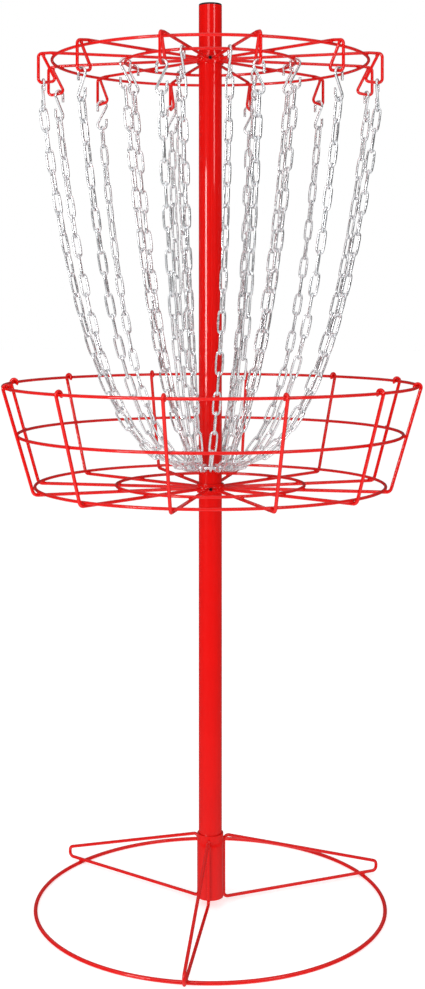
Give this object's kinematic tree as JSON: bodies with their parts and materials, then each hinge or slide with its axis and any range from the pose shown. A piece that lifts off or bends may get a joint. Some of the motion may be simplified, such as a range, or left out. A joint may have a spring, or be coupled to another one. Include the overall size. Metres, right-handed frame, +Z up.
{
  "type": "disc golf basket",
  "caption": "Portable disc golf target: a pole in a wire ground stand carries a wire tray and a wire crown hung with two circles of chains.",
  "frame": {"origin": "on the ground, on the pole's axis", "axes": "+Z up along the pole; -Y towards the side that shows the set screws"},
  "size_m": [0.6448, 0.6448, 1.4],
  "materials": {
    "red_powder_coat": "gloss powder coat",
    "zinc_plate": "bright zinc plate",
    "black_plastic": "moulded satin",
    "black_oxide": "black oxide"
  },
  "bodies": {
    "base": {"base_ring": "red_powder_coat", "base_socket": "red_powder_coat", "leg_front": "red_powder_coat", "leg_left": "red_powder_coat", "leg_right": "red_powder_coat"},
    "lower_pole": {"lower_pole": "red_powder_coat"},
    "upper_pole": {"upper_pole": "red_powder_coat", "pole_end_cap": "black_plastic"},
    "tray": {"tray_hub": "red_powder_coat", "tray_set_screw": "black_oxide", "tray_rib_01": "red_powder_coat", "tray_rib_02": "red_powder_coat", "tray_rib_03": "red_powder_coat", "tray_rib_04": "red_powder_coat", "tray_rib_05": "red_powder_coat", "tray_rib_06": "red_powder_coat", "tray_rib_07": "red_powder_coat", "tray_rib_08": "red_powder_coat", "tray_rib_09": "red_powder_coat", "tray_rib_10": "red_powder_coat", "tray_rib_11": "red_powder_coat", "tray_rib_12": "red_powder_coat", "tray_floor_inner_ring": "red_powder_coat", "tray_floor_outer_ring": "red_powder_coat", "tray_middle_ring": "red_powder_coat", "tray_rim_ring": "red_powder_coat"},
    "crown": {"crown_hub": "red_powder_coat", "crown_set_screw": "black_oxide", "crown_spokes_1": "red_powder_coat", "crown_spokes_2": "red_powder_coat", "crown_spokes_3": "red_powder_coat", "crown_spokes_4": "red_powder_coat", "crown_spokes_5": "red_powder_coat", "crown_spokes_6": "red_powder_coat", "crown_outer_ring": "red_powder_coat", "crown_inner_ring": "red_powder_coat", "outer_s_hooks": "zinc_plate", "inner_s_hooks": "zinc_plate"},
    "collector": {"chain_collector_ring": "zinc_plate"},
    "outer_chain_01": {"outer_chain_01": "zinc_plate"},
    "outer_chain_02": {"outer_chain_02": "zinc_plate"},
    "outer_chain_03": {"outer_chain_03": "zinc_plate"},
    "outer_chain_04": {"outer_chain_04": "zinc_plate"},
    "outer_chain_05": {"outer_chain_05": "zinc_plate"},
    "outer_chain_06": {"outer_chain_06": "zinc_plate"},
    "outer_chain_07": {"outer_chain_07": "zinc_plate"},
    "outer_chain_08": {"outer_chain_08": "zinc_plate"},
    "outer_chain_09": {"outer_chain_09": "zinc_plate"},
    "outer_chain_10": {"outer_chain_10": "zinc_plate"},
    "outer_chain_11": {"outer_chain_11": "zinc_plate"},
    "outer_chain_12": {"outer_chain_12": "zinc_plate"},
    "inner_chain_1": {"inner_chain_1": "zinc_plate"},
    "inner_chain_2": {"inner_chain_2": "zinc_plate"},
    "inner_chain_3": {"inner_chain_3": "zinc_plate"},
    "inner_chain_4": {"inner_chain_4": "zinc_plate"},
    "inner_chain_5": {"inner_chain_5": "zinc_plate"},
    "inner_chain_6": {"inner_chain_6": "zinc_plate"},
    "inner_chain_7": {"inner_chain_7": "zinc_plate"},
    "inner_chain_8": {"inner_chain_8": "zinc_plate"}
  },
  "joints": [
    {"name": "pole_lift", "type": "slide", "parent": "base", "child": "lower_pole", "axis": [0, 0, 1], "range_m": [0, 0.095]},
    {"name": "pole_break", "type": "slide", "parent": "lower_pole", "child": "upper_pole", "axis": [0, 0, 1], "range_m": [0, 0.06]},
    {"name": "tray_slide", "type": "slide", "parent": "upper_pole", "child": "tray", "axis": [0, 0, 1], "range_m": [-0.5, 0.02]},
    {"name": "crown_lift", "type": "slide", "parent": "upper_pole", "child": "crown", "axis": [0, 0, 1], "range_m": [0, 0.09]},
    {"name": "collector_turn", "type": "hinge", "parent": "crown", "child": "collector", "pos_m": [0, 0, 0.681], "axis": [0, 0, 1], "continuous": true},
    {"name": "outer_chain_01_sway", "type": "hinge", "parent": "crown", "child": "outer_chain_01", "pos_m": [0.06729, -0.25114, 1.22584], "axis": [0.1018, -0.3798, 0.9195], "range_deg": [-8, 8]},
    {"name": "outer_chain_02_sway", "type": "hinge", "parent": "crown", "child": "outer_chain_02", "pos_m": [0.18385, -0.18385, 1.22584], "axis": [0.278, -0.278, 0.9195], "range_deg": [-8, 8]},
    {"name": "outer_chain_03_sway", "type": "hinge", "parent": "crown", "child": "outer_chain_03", "pos_m": [0.25211, -0.06755, 1.22568], "axis": [0.3813, -0.1022, 0.9188], "range_deg": [-8, 8]},
    {"name": "outer_chain_04_sway", "type": "hinge", "parent": "crown", "child": "outer_chain_04", "pos_m": [0.25017, 0.06703, 1.22599], "axis": [0.3783, 0.1014, 0.9201], "range_deg": [-8, 8]},
    {"name": "outer_chain_05_sway", "type": "hinge", "parent": "crown", "child": "outer_chain_05", "pos_m": [0.18173, 0.18173, 1.22629], "axis": [0.2748, 0.2748, 0.9214], "range_deg": [-8, 8]},
    {"name": "outer_chain_06_sway", "type": "hinge", "parent": "crown", "child": "outer_chain_06", "pos_m": [0.06678, 0.24921, 1.22614], "axis": [0.101, 0.3769, 0.9207], "range_deg": [-8, 8]},
    {"name": "outer_chain_07_sway", "type": "hinge", "parent": "crown", "child": "outer_chain_07", "pos_m": [-0.06678, 0.24921, 1.22614], "axis": [-0.101, 0.3769, 0.9207], "range_deg": [-8, 8]},
    {"name": "outer_chain_08_sway", "type": "hinge", "parent": "crown", "child": "outer_chain_08", "pos_m": [-0.18173, 0.18173, 1.22629], "axis": [-0.2748, 0.2748, 0.9214], "range_deg": [-8, 8]},
    {"name": "outer_chain_09_sway", "type": "hinge", "parent": "crown", "child": "outer_chain_09", "pos_m": [-0.24148, 0.0647, 1.22735], "axis": [-0.365, 0.0978, 0.9258], "range_deg": [-8, 8]},
    {"name": "outer_chain_10_sway", "type": "hinge", "parent": "crown", "child": "outer_chain_10", "pos_m": [-0.25211, -0.06755, 1.22568], "axis": [-0.3813, -0.1022, 0.9188], "range_deg": [-8, 8]},
    {"name": "outer_chain_11_sway", "type": "hinge", "parent": "crown", "child": "outer_chain_11", "pos_m": [-0.18385, -0.18385, 1.22584], "axis": [-0.278, -0.278, 0.9195], "range_deg": [-8, 8]},
    {"name": "outer_chain_12_sway", "type": "hinge", "parent": "crown", "child": "outer_chain_12", "pos_m": [-0.06729, -0.25114, 1.22584], "axis": [-0.1018, -0.3798, 0.9195], "range_deg": [-8, 8]},
    {"name": "inner_chain_1_sway", "type": "hinge", "parent": "crown", "child": "inner_chain_1", "pos_m": [-0.04079, -0.12554, 1.26655], "axis": [-0.0459, -0.1717, 0.9841], "range_deg": [-8, 8]},
    {"name": "inner_chain_2_sway", "type": "hinge", "parent": "crown", "child": "inner_chain_2", "pos_m": [0.02857, -0.12887, 1.26655], "axis": [0.048, -0.1712, 0.9841], "range_deg": [-8, 8]},
    {"name": "inner_chain_3_sway", "type": "hinge", "parent": "crown", "child": "inner_chain_3", "pos_m": [-0.13102, -0.01609, 1.26655], "axis": [-0.1748, -0.027, 0.9842], "range_deg": [-8, 8]},
    {"name": "inner_chain_4_sway", "type": "hinge", "parent": "crown", "child": "inner_chain_4", "pos_m": [-0.12151, 0.05158, 1.26655], "axis": [-0.1649, 0.064, 0.9842], "range_deg": [-8, 8]},
    {"name": "inner_chain_5_sway", "type": "hinge", "parent": "crown", "child": "inner_chain_5", "pos_m": [0.13102, -0.01609, 1.26655], "axis": [0.1748, -0.027, 0.9842], "range_deg": [-8, 8]},
    {"name": "inner_chain_6_sway", "type": "hinge", "parent": "crown", "child": "inner_chain_6", "pos_m": [0.12323, 0.0473, 1.26655], "axis": [0.1678, 0.0568, 0.9842], "range_deg": [-8, 8]},
    {"name": "inner_chain_7_sway", "type": "hinge", "parent": "crown", "child": "inner_chain_7", "pos_m": [-0.05158, 0.12151, 1.26655], "axis": [-0.064, 0.1649, 0.9842], "range_deg": [-8, 8]},
    {"name": "inner_chain_8_sway", "type": "hinge", "parent": "crown", "child": "inner_chain_8", "pos_m": [0.07189, 0.1107, 1.26655], "axis": [0.0982, 0.1468, 0.9843], "range_deg": [-8, 8]}
  ]
}
